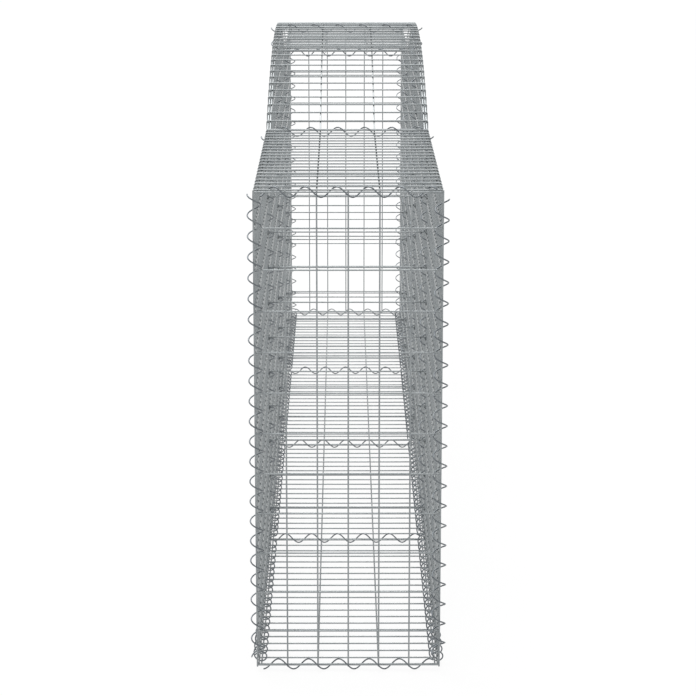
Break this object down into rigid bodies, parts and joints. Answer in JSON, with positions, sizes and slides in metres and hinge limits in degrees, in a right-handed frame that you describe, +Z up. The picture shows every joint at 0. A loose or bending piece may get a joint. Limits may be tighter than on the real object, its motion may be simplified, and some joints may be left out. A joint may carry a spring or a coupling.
{
  "type": "gabion basket",
  "caption": "Long narrow gabion basket of welded wire mesh with an arched lid, laced with wire spirals and held by cross ties between bays; filled with stone for a wall.",
  "frame": {"origin": "on the ground under the middle of the basket", "axes": "+X across the width, +Y along the length away from the front end, +Z up"},
  "size_m": [0.4768, 3.9874, 1.3859],
  "materials": {
    "mesh_zinc": "hot-dip galvanised, dull grey",
    "spiral_zinc": "galvanised drawn wire, slightly darker"
  },
  "bodies": {
    "root": {"front_end_panel": "mesh_zinc", "back_end_panel": "mesh_zinc", "left_side_panel_1": "mesh_zinc", "left_side_panel_2": "mesh_zinc", "left_side_panel_3": "mesh_zinc", "left_side_panel_4": "mesh_zinc", "right_side_panel_1": "mesh_zinc", "right_side_panel_2": "mesh_zinc", "right_side_panel_3": "mesh_zinc", "right_side_panel_4": "mesh_zinc", "floor_panel_1": "mesh_zinc", "floor_panel_2": "mesh_zinc", "floor_panel_3": "mesh_zinc", "floor_panel_4": "mesh_zinc", "lid_panel_1": "mesh_zinc", "lid_panel_2": "mesh_zinc", "lid_panel_3": "mesh_zinc", "lid_panel_4": "mesh_zinc", "cross_ties_1": "mesh_zinc", "cross_ties_2": "mesh_zinc", "cross_ties_3": "mesh_zinc", "corner_spiral_front_left": "spiral_zinc", "corner_spiral_front_right": "spiral_zinc", "corner_spiral_back_left": "spiral_zinc", "corner_spiral_back_right": "spiral_zinc", "left_seam_spiral_1": "spiral_zinc", "left_seam_spiral_2": "spiral_zinc", "left_seam_spiral_3": "spiral_zinc", "right_seam_spiral_1": "spiral_zinc", "right_seam_spiral_2": "spiral_zinc", "right_seam_spiral_3": "spiral_zinc", "floor_cross_spiral_1": "spiral_zinc", "floor_cross_spiral_2": "spiral_zinc", "floor_cross_spiral_3": "spiral_zinc", "floor_cross_spiral_4": "spiral_zinc", "floor_cross_spiral_5": "spiral_zinc", "lid_cross_spiral_1": "spiral_zinc", "lid_cross_spiral_2": "spiral_zinc", "lid_cross_spiral_3": "spiral_zinc", "lid_cross_spiral_4": "spiral_zinc", "lid_cross_spiral_5": "spiral_zinc", "left_edge_spirals": "spiral_zinc", "right_edge_spirals": "spiral_zinc"}
  },
  "joints": []
}
